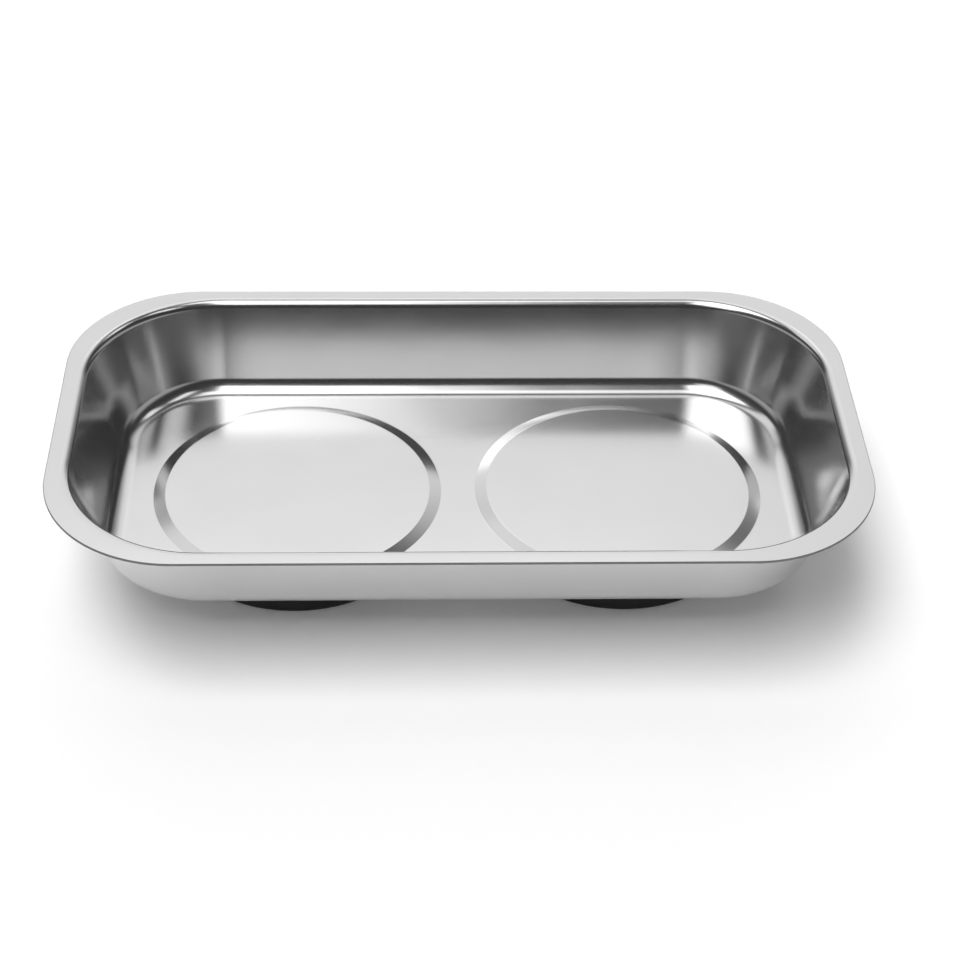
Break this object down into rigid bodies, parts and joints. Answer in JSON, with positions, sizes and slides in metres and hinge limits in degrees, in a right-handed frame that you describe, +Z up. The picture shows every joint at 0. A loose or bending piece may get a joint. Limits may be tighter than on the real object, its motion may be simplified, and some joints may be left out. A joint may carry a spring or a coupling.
{
  "type": "magnetic parts tray",
  "caption": "Rectangular pressed stainless tray with round corners, a flat rim and raised floor discs over rubber-covered magnet feet, for holding small steel parts.",
  "frame": {"origin": "on the bench, under the middle of the tray", "axes": "+X along the tray's length, +Y across it to the far side, +Z up"},
  "size_m": [0.24, 0.1366, 0.0434],
  "materials": {
    "stainless": "satin pressed stainless sheet",
    "rubber": "matt moulded black rubber",
    "ferrite": "matt sintered ferrite",
    "zinc_plate": "bright zinc plate on steel",
    "nylon": "natural moulded nylon"
  },
  "bodies": {
    "root": {"tray_pan": "stainless", "left_weld_stud": "zinc_plate", "right_weld_stud": "zinc_plate", "left_ring_magnet": "ferrite", "right_ring_magnet": "ferrite", "left_centring_bush": "nylon", "right_centring_bush": "nylon", "left_clamp_plate": "zinc_plate", "right_clamp_plate": "zinc_plate", "left_rubber_cover": "rubber", "right_rubber_cover": "rubber", "left_flat_washer": "zinc_plate", "right_flat_washer": "zinc_plate", "left_lock_washer": "zinc_plate", "right_lock_washer": "zinc_plate", "left_hex_nut": "zinc_plate", "right_hex_nut": "zinc_plate"}
  },
  "joints": []
}
